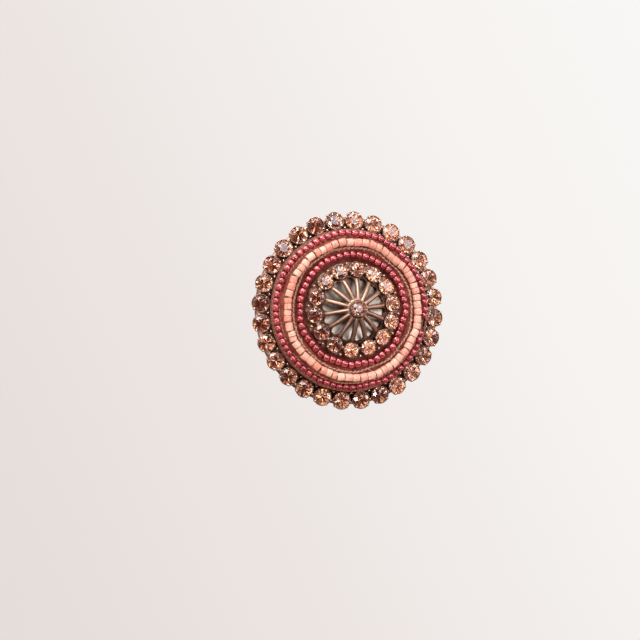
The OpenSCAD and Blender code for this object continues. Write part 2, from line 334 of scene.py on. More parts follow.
# %% Light paths and view
STONE_BOUNCES = 24
bpy.context.scene.view_settings.view_transform = "Standard"
paths = bpy.context.scene.cycles
paths.max_bounces = STONE_BOUNCES
paths.glossy_bounces = STONE_BOUNCES
paths.transmission_bounces = STONE_BOUNCES
print("bounces:", paths.max_bounces)

# %% [markdown]
# ## Mesh helpers
#
# Each piece is made face up, in millimetres, with its height measured forward from the back
# face. `facing` turns it to look along -Y, and `on_ring` carries a part to its place on one of
# the earring's rings.

# %% Places on the earring
def facing(points):
    """Face-up points in mm as points of the frame in metres."""
    x, y, h = np.asarray(points, float).T
    return np.stack([x, -h, y], axis=1) * MM


def on_ring(points, angle, r, h, lean=0.0):
    """Moves points to a place of a ring: x is outward there, and lean tips them outward."""
    turn, tip = math.radians(angle), math.radians(lean)
    x, y, z = np.asarray(points, float).T
    out = r + x * math.cos(tip) + z * math.sin(tip)
    up = h - x * math.sin(tip) + z * math.cos(tip)
    return np.stack([
        out * math.cos(turn) - y * math.sin(turn),
        out * math.sin(turn) + y * math.cos(turn),
        up,
    ], axis=1)


example = facing(on_ring([(0, 0, 0)], angle=90, r=10, h=5))[0]
print("5 mm over the plate, at the top of a 10 mm ring:", [round(float(v), 4) for v in example])

# %% [markdown]
# Most of the small parts are either turned like wood on a lathe or drawn like wire along a path,
# so two functions make nearly all of them. Both lay rings of points one after another and join
# them with quads. Blender's own Spin and curve bevel do the same by hand. Written out, the width
# of a wire can change along its path, and each point's place in the part is known.

# %% Turned and drawn parts
def grid_faces(rows, columns, wrap_rows=False):
    """Quads over rows of points, each row closed on itself, flattened one after another."""
    i, j = np.meshgrid(np.arange(rows if wrap_rows else rows - 1), np.arange(columns), indexing="ij")
    i, j = i.ravel(), j.ravel()
    next_i, next_j = (i + 1) % rows, (j + 1) % columns
    corners = ((i, j), (i, next_j), (next_i, next_j), (next_i, j))
    return np.stack([a * columns + b for a, b in corners], axis=1)


def turned(profile, sides, closed=False):
    """Turns a profile of (radius, height) points round the z axis."""
    profile = np.asarray(profile, float)
    angle = np.linspace(0, 2 * math.pi, sides, endpoint=False)
    r = profile[:, :1]
    points = np.stack([r * np.cos(angle), r * np.sin(angle), profile[:, 1:] + 0 * angle], axis=2)
    return points.reshape(-1, 3), grid_faces(len(profile), sides, wrap_rows=closed)


def drawn(path, wide, thick, sides, closed=False):
    """Draws an oval wire along a path, with flat ends.

    wide lies level and thick stands up. Both are half sizes in mm, one or one for each point.
    """
    path = np.asarray(path, float)
    if closed:
        ahead = np.roll(path, -1, axis=0) - np.roll(path, 1, axis=0)
    else:
        ahead = np.gradient(path, axis=0)
    ahead /= np.linalg.norm(ahead, axis=1, keepdims=True)
    side = np.cross(ahead, (0.0, 0.0, 1.0))
    flat = np.linalg.norm(side, axis=1, keepdims=True)
    side = np.where(flat < 1e-6, np.array([[0.0, 1.0, 0.0]]), side / np.maximum(flat, 1e-6))
    # A path that bends back over itself turns its side over, which would wring the wire there.
    turned_over = np.where(np.sum(side[1:] * side[:-1], axis=1) < 0, -1.0, 1.0)
    side[1:] *= np.cumprod(turned_over)[:, None]
    rise = np.cross(side, ahead)
    angle = np.linspace(0, 2 * math.pi, sides, endpoint=False)
    wide = np.broadcast_to(wide, len(path))[:, None, None]
    thick = np.broadcast_to(thick, len(path))[:, None, None]
    ring = (side[:, None] * np.cos(angle)[None, :, None] * wide
            + rise[:, None] * np.sin(angle)[None, :, None] * thick)
    if not closed:
        path = np.concatenate([path[:1], path, path[-1:]])
        ring = np.concatenate([ring[:1] * 0, ring, ring[-1:] * 0])
    points = (path[:, None] + ring).reshape(-1, 3)
    return points, grid_faces(len(path), sides, wrap_rows=closed)


example = drawn([(0, 0, 0), (1, 0, 0), (2, 1, 0)], 0.1, 0.1, 8)
print("a wire through 3 points, with 8 sides and closed ends, has", len(example[1]), "faces")

# %% [markdown]
# A renderer can tell the inside of a mesh from its outside only if all its faces are turned the
# same way, so each mesh is cleaned before it is used. Parts that were made side by side, such as
# the petals of the rosette, are joined where their points meet.

# %% Clean meshes
def clean(mesh, join):
    """Turns every face outward, after joining the points that meet where join is true."""
    shape = bmesh.new()
    shape.from_mesh(mesh)
    if join:
        bmesh.ops.remove_doubles(shape, verts=shape.verts, dist=1e-7)
        bmesh.ops.dissolve_degenerate(shape, edges=shape.edges, dist=1e-8)
    bmesh.ops.recalc_face_normals(shape, faces=shape.faces)
    shape.to_mesh(mesh)
    shape.free()


# %% [markdown]
# A `Pile` gathers many small parts into one piece. It carries two numbers for each point, the
# `wear` and the `tone`, and the finish reads them back: the first is the wear of
# metal, and in a bead the painted shade of its hole. So hundreds of beads share one material and
# still differ from one to the next.

# %% Pile
class Pile:
    """Small meshes that become one piece, with two numbers for each point."""

    def __init__(self):
        self.points, self.faces = [], []
        self.marks = {"wear": [], "tone": []}
        self.count = 0

    def add(self, part, wear=0.5, tone=0.5):
        points, faces = part
        self.faces += (np.asarray(faces) + self.count).tolist()
        self.marks["wear"].append(np.broadcast_to(wear, len(points)))
        self.marks["tone"].append(np.broadcast_to(tone, len(points)))
        self.points.append(np.asarray(points, float))
        self.count += len(points)

    def build(self, name, finish, sharp=40):
        """Makes the piece, joins points that meet and smooths all but the sharp edges."""
        mesh = bpy.data.meshes.new(name)
        mesh.from_pydata(facing(np.concatenate(self.points)).tolist(), [], self.faces)
        for title, values in self.marks.items():
            layer = mesh.attributes.new(title, "FLOAT", "POINT")
            layer.data.foreach_set("value", np.concatenate(values).astype(np.float32))
        mesh.materials.append(finish.material)
        clean(mesh, join=True)
        mesh.shade_smooth()
        mesh.set_sharp_from_angle(angle=math.radians(sharp))
        piece = put_in_scene(bpy.data.objects.new(name, mesh))
        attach(piece, "root")
        print(f"{name}: {len(mesh.polygons)} faces")
        return piece


# %% [markdown]
# ## Sizes
#
# These are the sizes of the frame's own pieces, in millimetres, so that each modelled piece
# sits where its solid does. The print compares a few of them with the frame.

# %% Sizes shared with the frame
FIRST_ANGLE = 85.9
LEAN = 12.0
PLATE_T = 0.6
BED_R, CROWN_R, CROWN_AT, CROWN_H, SEAT_H = 14.45, 2.65, 11.8, 3.2, 5.2
OUTER = dict(count=28, r=16.687, h=1.327, cup_r=1.72, pocket_r=1.6, cup_h=1.8, glass_r=1.55, claws=4)
INNER = dict(count=14, r=7.28, h=5.793, cup_r=1.475, pocket_r=1.375, cup_h=1.6, glass_r=1.325, claws=4)
CENTRE = dict(count=1, r=0.0, h=9.2, cup_r=1.47, pocket_r=1.35, cup_h=1.25, glass_r=1.3, claws=6)
OUTER_PILLARS, INNER_PILLARS = 15.55, 8.75
CUP_TAPER, CUP_FLOOR, GIRDLE_DROP = 0.2, 0.2, 0.1
BEAD_GAP = 0.06


def row_place(at, bead_d):
    """Radius and height of a bead row that lies on the crown of the bed, at an angle in degrees."""
    reach = CROWN_R + BEAD_GAP + bead_d / 2
    return CROWN_AT + reach * math.cos(math.radians(at)), CROWN_H + reach * math.sin(math.radians(at))


RED_D, PEACH_D = 1.25, 1.45
ROWS = {
    "outer_bead_row": row_place(33, RED_D),
    "middle_bead_row": row_place(72.5, PEACH_D),
    "inner_bead_row": row_place(114, RED_D),
}
for node, (row_r, row_h) in ROWS.items():
    low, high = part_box(node)
    across = RED_D if node != "middle_bead_row" else PEACH_D
    print(node, "frame radius", round(high.x / MM, 2), "own radius", round(row_r + across / 2, 2))
    print(node, "frame height", round(-low.y / MM, 2), "own height", round(row_h + across / 2, 2))

# %% [markdown]
# ## Leather bed
#
# The bed is a ring of padding with thin dark red leather drawn over it and down to the plate.
# Cloth simulation could pull it, but the beads hide nearly all of it, so its shape is worked
# out instead: the skin swells a little between the rows, dips under each row where the thread
# holds it down, and gathers in small pleats on the outer wall, where it is turned under.

# %% Leather
def leather():
    finish = Finish("bed_leather", specular_IOR_level=0.35)
    grain = finish.cells(0.16)
    patches = finish.cloud(1.8, detail=4)
    worn = (patches - 0.5) * 1.6 + 0.45
    finish.drive(
        base_color=finish.mix(worn.step(0.1, 0.9), rgb(108, 42, 32), rgb(172, 92, 72)),
        roughness=0.5 + patches * 0.25,
    )
    finish.bump(grain.step(0.0, 0.5) + finish.cloud(0.3) * 0.8, 0.08)
    return finish


bed_finish = leather()
count_nodes(bed_finish)

# %% Leather bed
PLATE_GAP = 0.02
WALL_BULGE = 0.22
WALL_FOOT_AT = -30.0
SWELL_AT, SWELL_WIDTH, SWELL_H = (53.0, 93.5), 8.0, 0.16
PLEATS, PLEAT_DEPTH, PLEATS_END_AT = 46, 0.13, 12.0
FLAT_WITHIN_R = 8.6
UNDERSIDE = 999.0
BED_SIDES = 360


def bed_profile():
    """Radius, height, outward and upward share of its direction, and place in degrees."""
    rows = [(BED_R, PLATE_T + PLATE_GAP, 1.0, 0.0, WALL_FOOT_AT - 10)]
    for h in np.linspace(0.85, CROWN_H, 9):
        share = (h - PLATE_T) / (CROWN_H - PLATE_T)
        bulge = WALL_BULGE * math.sin(math.pi * share)
        rows.append((BED_R + bulge, h, 1.0, 0.0, WALL_FOOT_AT * (1 - share)))
    last = 180 - math.degrees(math.asin((SEAT_H - CROWN_H) / CROWN_R))
    for at in np.linspace(3, last, 48):
        turn = math.radians(at)
        c, s = math.cos(turn), math.sin(turn)
        rows.append((CROWN_AT + CROWN_R * c, CROWN_H + CROWN_R * s, c, s, at))
    for r in (9.7, 9.3, 8.9, 8.5, 5.0, 0.0):
        rows.append((r, SEAT_H, 0.0, 1.0, last + 4))
    for r in (0.0, BED_R - 0.3):
        rows.append((r, PLATE_T + PLATE_GAP, 0.0, -1.0, UNDERSIDE))
    return np.array(rows)


def swell(at):
    """Height of the skin over the crown: high between the rows of beads."""
    return sum(SWELL_H * math.exp(-((at - middle) / SWELL_WIDTH) ** 2) for middle in SWELL_AT)


def skin_push(r, h, at, turn):
    """How far the skin stands out at a place, from its swellings, its lumps and its pleats."""
    if at == UNDERSIDE or r <= FLAT_WITHIN_R:
        return 0.0
    spot = Vector((math.cos(turn) * r, math.sin(turn) * r, h))
    push = swell(at) * (0.8 + 0.5 * noise.noise(spot * 0.9))
    push += 0.035 * noise.noise(spot * 2.2) - 0.03
    if at < PLEATS_END_AT:
        pleat = 0.5 + 0.5 * math.sin(turn * PLEATS + 3 * noise.noise(spot * 0.5))
        fade = (PLEATS_END_AT - max(at, WALL_FOOT_AT)) / (PLEATS_END_AT - WALL_FOOT_AT)
        push -= PLEAT_DEPTH * pleat ** 2 * fade
    return push


bed_rows = bed_profile()
bed_points = []
for r, h, out, up, at in bed_rows:
    for k in range(BED_SIDES):
        turn = 2 * math.pi * k / BED_SIDES
        push = skin_push(r, h, at, turn)
        reach = r + out * push
        bed_points.append((reach * math.cos(turn), reach * math.sin(turn), h + up * push))
bed_pile = Pile()
bed_pile.add((bed_points, grid_faces(len(bed_rows), BED_SIDES, wrap_rows=True)))
bed = bed_pile.build("leather_bed", bed_finish, sharp=50)
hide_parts("bead_bed")

# %% [markdown]
# ## Sewn beads
#
# Each row is strung on one thread and sewn down every few beads, so the beads lie in short
# straight runs with a small kink between them, and no two are quite the same length. Copies of
# one bead on a perfect circle would look printed. A bead is a rounded box section turned round
# its hole: the red seed beads are nearly round, and the peach ones are cut cylinders.

# %% Bead shape
SECTION_POINTS = 16


def bead(across, length, hole, softness, around):
    """A drilled bead that lies along x: softness 1 is round, and smaller is boxier."""
    t = np.linspace(0, 2 * math.pi, SECTION_POINTS, endpoint=False) + math.pi / SECTION_POINTS
    wall = (across / 2 - hole) / 2
    along_x = length / 2 * np.sign(np.cos(t)) * np.abs(np.cos(t)) ** softness
    out = hole + wall + wall * np.sign(np.sin(t)) * np.abs(np.sin(t)) ** softness
    points, faces = turned(np.stack([out, along_x], axis=1), around, closed=True)
    return points[:, [2, 0, 1]], faces, np.repeat((np.sin(t) > -0.3).astype(float), around)


def tumbled(points, spin, tip, yaw):
    """Spins a bead round its hole, tips it up and turns it level, angles in radians."""
    for turn, (a, b) in ((spin, (1, 2)), (tip, (0, 2)), (yaw, (0, 1))):
        rotation = np.eye(3)
        rotation[a, a] = rotation[b, b] = math.cos(turn)
        rotation[a, b] = math.sin(turn)
        rotation[b, a] = -math.sin(turn)
        points = points @ rotation
    return points


example = bead(across=1.3, length=1.1, hole=0.2, softness=0.95, around=24)
print("one red bead has", len(example[0]), "points and", len(example[1]), "faces")

# %% [markdown]
# The runs of the peach row follow the real one, and those of the red rows are drawn by a seeded
# dice. Within a run the beads share its length unevenly, and each is spun, tipped and lifted a
# little, more so the looser its row is sewn.

# %% Runs of beads
LENGTH_SPREAD, SIZE_SPREAD, RUN_GAP = 0.13, (-0.05, 0.02), (0.03, 0.14)
YAW_PER_MM, TIP_PER_MM = 60, 40


def runs_between(kinks, r, pitch):
    """Splits a ring at its kinks, in degrees, into (start, end, number of beads)."""
    ends = list(kinks[1:]) + [kinks[0] + 360]
    return [(a, b, max(1, round(math.radians(b - a) * r / pitch))) for a, b in zip(kinks, ends)]


def random_kinks(dice, r, pitch):
    """Kinks every two to four beads."""
    kinks, angle, step = [], dice.uniform(0, 5), math.degrees(pitch / r)
    while angle < 358 - 2 * step:
        kinks.append(angle)
        angle += dice.choice((2, 3, 3, 4)) * step
    return kinks


def lay_row(pile, dice, kinks, row, shape, bare):
    """Lays a row of beads, none in the bare stretch. Returns their middles and their number."""
    r, h = row
    across, loose = shape["across"], shape["loose"]
    middles, laid = [], 0
    for start, end, number in runs_between(kinks, r, shape["pitch"]):
        corners = []
        for angle in (start, end):
            reach = r + dice.uniform(-loose, loose)
            turn = math.radians(angle)
            corners.append(np.array([reach * math.cos(turn), reach * math.sin(turn)]))
        chord = corners[1] - corners[0]
        run = np.linalg.norm(chord)
        shares = np.array([1 + dice.uniform(-LENGTH_SPREAD, LENGTH_SPREAD) for _ in range(number)])
        gap = dice.uniform(*RUN_GAP) / run
        shares *= (1 - gap) / shares.sum()
        at = gap / 2
        for share in shares:
            x, y = corners[0] + chord * (at + share / 2)
            at += share
            size = across * (1 + dice.uniform(*SIZE_SPREAD))
            yaw = math.atan2(chord[1], chord[0])
            yaw += math.radians(dice.uniform(-1, 1) * YAW_PER_MM * loose)
            tip = math.radians(dice.uniform(-1, 1) * TIP_PER_MM * loose)
            spin = dice.uniform(0, 2 * math.pi)
            lift = dice.uniform(-0.5, 0.5) * loose - (across - size) / 2
            middle = np.array([x, y, h + lift])
            middles.append(middle)
            if bare[0] < math.degrees(math.atan2(y, x)) % 360 < bare[1]:
                continue
            length = run * share - shape["crack"]
            points, faces, outside = bead(size, length, shape["hole"], shape["softness"], shape["around"])
            points = tumbled(points, spin, tip, yaw) + middle
            pile.add((points, faces), wear=outside, tone=dice.random())
            laid += 1
    return middles, laid


start, end, number = runs_between((0, 18), r=13.0, pitch=1.3)[0]
print("a run from", start, "to", end, "degrees of a 13 mm ring holds", number, "beads")

# %% [markdown]
# The red beads are crimson glass with a metal lustre baked on, so they are half glass and half
# mirror. The peach beads are opaque, with a soft shine and a little light passing through. In
# both, the `wear` number is 1 on the outside of a bead and 0 in its hole, where
# neither lustre nor light gets in, so the hole is painted dark as shade, and the `tone` gives
# each bead its own colour. The same `tone` makes a thread dark or pale.

# %% Bead finishes
def red_lustre():
    """Crimson glass with a thin metal lustre: dark in the middle, pink round the edge."""
    finish = Finish("red_lustre_glass", coat_roughness=0.05, coat_IOR=1.85)
    tone = finish.mark("tone")
    outside = finish.mark("wear")
    streak = finish.cloud(0.35, detail=2)
    body = finish.mix(tone, rgb(170, 38, 54), rgb(216, 80, 94))
    body = finish.mix(streak.step(0.35, 0.75) * 0.5, body, rgb(240, 130, 132))
    finish.drive(
        # Painted shade: the hole of a red bead is coloured near black, since little light gets in there.
        base_color=finish.mix(outside, rgb(50, 6, 10), body),
        metallic=outside * 0.7,
        roughness=0.24 + streak * 0.14,
        coat_weight=outside,
    )
    finish.bump(finish.cloud(0.22, detail=2), 0.012)
    return finish


def peach_gloss():
    """Opaque peach glass with a soft shine."""
    finish = Finish("peach_glass", coat_roughness=0.12, coat_IOR=1.5, subsurface_weight=0.35)
    finish.shader.inputs["Subsurface Radius"].default_value = (0.8 * MM, 0.25 * MM, 0.15 * MM)
    finish.shader.inputs["Subsurface Scale"].default_value = 1.0
    tone = finish.mark("tone")
    outside = finish.mark("wear")
    streak = finish.cloud(0.5, detail=3)
    body = finish.mix(tone, rgb(220, 137, 113), rgb(243, 191, 171))
    body = finish.mix(streak.step(0.4, 0.8) * 0.5, body, rgb(255, 222, 206))
    finish.drive(
        # Painted shade: the hole of a peach bead is coloured dark red-brown, since little light gets in
        # there.
        base_color=finish.mix(outside, rgb(176, 64, 44), body),
        roughness=0.34 + streak * 0.12,
        coat_weight=outside * 0.4,
    )
    finish.bump(finish.cloud(0.25, detail=2), 0.01)
    return finish


def sewing_thread():
    finish = Finish("sewing_thread", roughness=0.75)
    tone = finish.mark("tone")
    fibre = finish.cloud(0.12, detail=4)
    dark = finish.mix(fibre, rgb(88, 40, 30), rgb(156, 86, 66))
    pale = finish.mix(fibre, rgb(156, 100, 78), rgb(252, 212, 186))
    finish.drive(base_color=finish.mix(tone, dark, pale))
    finish.bump(fibre, 0.03)
    return finish


red_finish = red_lustre()
peach_finish = peach_gloss()
thread_finish = sewing_thread()
count_nodes(red_finish, peach_finish, thread_finish)

# %% [markdown]
# The three rows are laid with the same function. The red beads stand a little fuller than their
# ring in the frame, because a row of round beads looks thinner than a smooth ring. The outer
# row has a bare stretch at its right, where the leather and its thread show.

# %% Lay the three rows
PEACH_KINKS = (
    14, 24, 39, 64, 76, 96, 103, 126, 134, 151, 170, 191,
    199, 208, 220, 240, 256, 276, 290, 306, 325, 344, 356,
)
RED_FULLER = 1.08
BARE_STRETCH = (343, 353)
STRING_R = 0.11
red_shape = dict(
    across=RED_D * RED_FULLER, pitch=1.3, hole=0.2, softness=0.95, loose=0.12, around=24, crack=0.16,
)
peach_shape = dict(
    across=PEACH_D, pitch=1.285, hole=0.3, softness=0.46, loose=0.12, around=28, crack=0.08,
)
strings = Pile()


def bead_row(name, node, finish, seed, shape, kinks=None, bare=(0, 0)):
    """Makes one row of beads, and adds the thread through them to the strings."""
    dice = random.Random(seed)
    pile = Pile()
    kinks = kinks or random_kinks(dice, ROWS[node][0], shape["pitch"])
    middles, laid = lay_row(pile, dice, kinks, ROWS[node], shape, bare)
    strings.add(drawn(middles, STRING_R, STRING_R, 8, closed=True), tone=0.2)
    piece = pile.build(name, finish, sharp=60)
    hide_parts(node)
    print(name, "beads:", laid)


OUTER_SEED, INNER_SEED, PEACH_SEED = 5, 8, 11
bead_row(
    "outer_red_beads", "outer_bead_row", red_finish, OUTER_SEED, red_shape, bare=BARE_STRETCH,
)
bead_row("inner_red_beads", "inner_bead_row", red_finish, INNER_SEED, red_shape)
bead_row(
    "peach_beads", "middle_bead_row", peach_finish, PEACH_SEED, peach_shape, PEACH_KINKS,
)

# %% [markdown]
# ## Couching threads
#
# Thicker threads of two twisted plies are laid on the leather and caught down with stitches.
# One lies between the inner red row and the peach row, one between the peach row and the outer
# red row, and two cover the gap between the bed and the ring of cups. A picture of rope on a
# plain ring would look flat this close, so each ply is a real wire that winds along a helix
# round a slightly wavy ring.

# %% Twisted threads
def on_bed(r):
    """Height of the crown of the bed, and of the top of its wall further out."""
    return CROWN_H + math.sqrt(max(CROWN_R ** 2 - (r - CROWN_AT) ** 2, 0))


def ring_path(r, over, waves, points, seed):
    """A ring that strays by about waves and lies over the bed, sizes in mm."""
    path = []
    for k in range(points):
        turn = 2 * math.pi * k / points
        spot = Vector((math.cos(turn) * 2.6, math.sin(turn) * 2.6, seed))
        reach = r + waves * noise.noise(spot) * 2
        path.append((reach * math.cos(turn), reach * math.sin(turn), on_bed(reach) + over))
    return np.array(path)


def twisted(pile, path, ply_r, twist, tone):
    """Winds two plies round a closed path. twist is the length of one turn in mm."""
    ahead = np.roll(path, -1, axis=0) - path
    step = np.linalg.norm(ahead, axis=1)
    ahead /= step[:, None]
    side = np.cross(ahead, (0.0, 0.0, 1.0))
    side /= np.linalg.norm(side, axis=1, keepdims=True)
    rise = np.cross(side, ahead)
    travel = np.concatenate([[0], np.cumsum(step)[:-1]])
    turns = round(step.sum() / twist)
    phase = 2 * math.pi * turns * travel / step.sum()
    for ply, ply_tone in ((0, tone * 0.3), (math.pi, tone)):
        offset = side * np.cos(phase + ply)[:, None] + rise * np.sin(phase + ply)[:, None]
        pile.add(drawn(path + offset * ply_r * 0.85, ply_r, ply_r, 8, closed=True), tone=ply_tone)
    print("thread of", round(step.sum()), "mm with", turns, "turns")


# Each row is a thread's r, over, waves, points, seed, ply_r, twist and tone, sizes in mm.
THREADS = (
    (11.6, 0.2, 0.24, 900, 3.0, 0.115, 0.8, 1.0),
    (13.84, 0.14, 0.12, 1000, 6.0, 0.1, 0.8, 0.9),
    (15.0, 1.02, 0.09, 1100, 12.0, 0.11, 1.0, 0.45),
    (15.21, 0.67, 0.09, 1100, 12.0, 0.09, 0.7, 0.15),
)
for r, over, waves, points, seed, ply_r, twist, tone in THREADS:
    twisted(strings, ring_path(r, over, waves, points, seed), ply_r, twist, tone)

# %% [markdown]
# The stitches are short arches that dive into the leather at both ends. One crosses the peach
# row at each of its kinks, because the stitch is what makes the kink, and others catch the
# thread beside it at an even distance, a little aslant.

# %% Stitches
PEACH_STITCH = dict(inside=12.0, outside=13.75, rise=0.55, tone=0.25)
THREAD_STITCH = dict(inside=11.15, outside=12.05, rise=0.42, tone=0.75)
THREAD_STITCH_STEP = 15.0
STITCH_R, STITCH_POINTS = 0.1, 11


def stitch(pile, angle, slant, inside, outside, rise, tone):
    """An arch over the leather from one radius to another, turned by slant on its way."""
    path = []
    for t in np.linspace(0, 1, STITCH_POINTS):
        turn = math.radians(angle + slant * (t - 0.5))
        r = inside + (outside - inside) * t
        h = on_bed(inside) + (on_bed(outside) - on_bed(inside)) * t + rise * math.sin(math.pi * t)
        path.append((r * math.cos(turn), r * math.sin(turn), h))
    size = STITCH_R * np.sqrt(np.sin(np.linspace(0.12, math.pi - 0.12, STITCH_POINTS)))
    pile.add(drawn(path, size, size, 8), tone=tone)


dice = random.Random(21)
for angle in PEACH_KINKS:
    stitch(strings, angle, dice.uniform(-3, 3), **PEACH_STITCH)
for angle in np.arange(4, 360, THREAD_STITCH_STEP):
    where = angle + dice.uniform(-4, 4)
    stitch(strings, where, dice.uniform(2, 7), **THREAD_STITCH)
threads = strings.build("threads", thread_finish, sharp=80)

# %% [markdown]
# ## Worn brass
#
# The cups and the rosette are cast or stamped in a coppery brass that was darkened on purpose
# and then rubbed bright on its high places. So one finish needs two colours, and the mesh says
# where each goes: every point carries a `wear` number, here the wear alone, high
# on rims, claws and ribs and low in the hollows, and a little noise breaks up the border.

# %% Brass finish
def worn_brass(name, dark, bright, rough):
    finish = Finish(name, metallic=1.0)
    wear = finish.mark("wear")
    patches = finish.cloud(0.7, detail=5, rough=0.65)
    fine = finish.cloud(0.12, detail=3)
    rubbed = (wear + (patches - 0.5) * 0.9 + (fine - 0.5) * 0.35).step(0.15, 0.85)
    finish.drive(
        base_color=finish.mix(rubbed, dark, bright),
        roughness=rough + 0.2 - rubbed * 0.2 + (fine - 0.5) * 0.12,
    )
    finish.bump(fine + patches * 0.6, 0.018)
    return finish


cup_brass = worn_brass("antique_brass", rgb(130, 90, 74), rgb(236, 204, 184), rough=0.26)
rose_brass = worn_brass("rosette_brass", rgb(118, 90, 74), rgb(204, 168, 150), rough=0.4)
count_nodes(cup_brass, rose_brass)

# %% [markdown]
# ## Cups and claws
#
# Each stone sits in a tapered cup with a thin rounded lip, and small claws that climb the wall
# are pressed over the edge of the stone. The ring of cups stands on a sheet cone. Between two
# cups stands a thin pillar with a bead soldered on top, and a short flat bar joins the cups on
# their outer side. Every cup is the same on the real thing too, so one cup is turned, its claws
# are drawn as flat wire, and the ring is a loop. Each cup also carries a tone of its own, which
# the brass finish doesn't read.

# %% Cup and claws
CUP_SIDES = 40
CLAW_THICK = 0.075
OUTER_CLAW_WIDE, INNER_CLAW_WIDE, CENTRE_CLAW_WIDE = 0.15, 0.13, 0.12


def cup_parts(size):
    """One cup round the z axis, and how worn it is at each point."""
    wall, pocket, tall = size["cup_r"], size["pocket_r"], size["cup_h"]
    foot = wall - CUP_TAPER
    lip = (wall - pocket) / 2
    inside_foot = pocket - CUP_TAPER + 0.02
    outside = [(0, -0.08), (foot - 0.02, -0.08), (foot, 0), (foot + 0.05, 0.04)]
    for t in np.linspace(0.08, 0.9, 7):
        bulge = 0.03 * math.sin(math.pi * t)
        outside.append((foot + CUP_TAPER * t + bulge, tall * t))
    arc = []
    for turn in np.linspace(0, math.pi, 7):
        arc.append((wall - lip + lip * math.cos(turn), tall - lip + lip * math.sin(turn)))
    inside = [
        (pocket - 0.05, tall * 0.6), (inside_foot, CUP_FLOOR + 0.1),
        (inside_foot - 0.15, CUP_FLOOR), (0, CUP_FLOOR),
    ]
    profile = np.array(outside + arc + inside)
    heights = profile[:, 1] / tall
    wear = np.clip((heights - 0.25) * 0.9, 0.05, 0.75)
    wear[len(outside):len(outside) + len(arc)] = 0.5
    wear[-len(inside):] = (0.45, 0.15, 0.1, 0.1)
    return turned(profile, CUP_SIDES), np.repeat(wear, CUP_SIDES)


def claw_parts(size, wide):
    """The claws of one cup: each climbs the wall and bends in over the stone's edge."""
    wall, tall = size["cup_r"], size["cup_h"]
    path = np.array([
        (wall - 0.10, 0, tall * 0.42), (wall - 0.02, 0, tall * 0.5), (wall + 0.03, 0, tall * 0.68),
        (wall + 0.05, 0, tall - 0.12), (wall + 0.02, 0, tall + 0.04), (wall - 0.08, 0, tall + 0.13),
        (wall - 0.22, 0, tall + 0.13), (wall - 0.33, 0, tall + 0.08), (wall - 0.37, 0, tall + 0.05),
    ])
    half_wide = wide * np.array([0.35, 0.75, 0.95, 1.0, 1.05, 1.15, 1.1, 0.75, 0.1])
    half_thick = CLAW_THICK * np.array([0.5, 0.9, 1.0, 1.05, 1.2, 1.35, 1.3, 0.9, 0.1])
    parts = []
    for k in range(size["claws"]):
        points, faces = drawn(path, half_wide, half_thick, 10)
        parts.append((on_ring(points, (k + 0.5) * 360 / size["claws"], 0, 0), faces))
    return parts


claw_points = len(claw_parts(OUTER, OUTER_CLAW_WIDE)[0][0])
print("one outer cup has", len(cup_parts(OUTER)[1]), "points, and a claw", claw_points)

# %% Link and pillar
LINK_WIDE, LINK_THICK = 0.36, 0.16
PILLAR_BEAD_R = 0.25


def sheet_height(r, size):
    """Top of the conical sheet that the cups stand on."""
    return size["h"] + (size["r"] - r) * math.tan(math.radians(LEAN))


def link_part(size):
    """A short flat bar from one cup to the next, a little outside the line of their middles."""
    half_turn = math.pi / size["count"]
    reach = size["r"] * math.sin(half_turn) - size["cup_r"] * 0.7
    middle = size["r"] * math.cos(half_turn) + 0.04 * size["r"]
    path = [(middle, y, 0.6 * size["cup_h"]) for y in np.linspace(-reach, reach, 7)]
    return drawn(path, LINK_WIDE, LINK_THICK, 10)


def pillar_part(size, at):
    """An upright pillar at a radius, with a bead soldered on top of it."""
    foot = sheet_height(at, size) - 0.1
    middle = foot + size["cup_h"] + 0.1 - PILLAR_BEAD_R
    profile = [(0, foot), (0.15, foot), (0.14, middle - 0.45), (0.16, middle - 0.26)]
    for turn in np.linspace(-0.7, 1.4, 8):
        profile.append((PILLAR_BEAD_R * math.cos(turn), middle + PILLAR_BEAD_R * math.sin(turn)))
    profile.append((0, middle + PILLAR_BEAD_R))
    points, faces = turned(profile, 16)
    return points + (at, 0, 0), faces


print("the sheet under the outer cups is", round(sheet_height(OUTER["r"], OUTER), 2), "mm high")
print("and under the inner cups", round(sheet_height(INNER["r"], INNER), 2), "mm high")

# %% Rings of cups
def place_cups(pile, size, lean, claw_wide, dice, pillars_at=None):
    """Adds a whole ring of cups to a pile, with their links and pillars where they have any."""
    cup_mesh, cup_wear = cup_parts(size)
    for i in range(size["count"]):
        angle = FIRST_ANGLE + i * 360 / size["count"]
        tone = dice.random()
        where = (angle, size["r"], size["h"], lean)
        pile.add((on_ring(cup_mesh[0], *where), cup_mesh[1]), wear=cup_wear, tone=tone)
        for points, faces in claw_parts(size, claw_wide):
            wear = 0.6 + 0.4 * (points[:, 2] > size["cup_h"] - 0.1)
            pile.add((on_ring(points, *where), faces), wear=wear, tone=tone)
        between = angle + 180 / size["count"]
        if pillars_at:
            points, faces = link_part(size)
            pile.add((on_ring(points + (0, 0, size["h"]), between, 0, 0), faces), wear=0.5)
            points, faces = pillar_part(size, pillars_at)
            wear = 0.3 + 0.7 * (points[:, 2] > points[:, 2].max() - 2 * PILLAR_BEAD_R)
            pile.add((on_ring(points, between, 0, 0), faces), wear=wear)


# %% [markdown]
# The sheet under the cups is a ring with a bent section. It is turned from an outline whose
# corners are cut off a little, because no real edge is perfectly sharp, and it is the cut corner
# that catches the light. The outer ring stands on the plate round the bed, and the inner ring
# on the bed, with a flange outside it and a recess inside it for the rosette.

# %% Outer ring of cups
def softened(corners, cut):
    """Cuts each corner of a closed outline, so that no edge is razor sharp."""
    corners = np.asarray(corners, float)
    out = []
    for before, here, after in zip(np.roll(corners, 1, axis=0), corners, np.roll(corners, -1, axis=0)):
        for other in (before, after):
            length = np.linalg.norm(other - here)
            out.append(here + (other - here) * min(cut / length, 0.4))
    return out


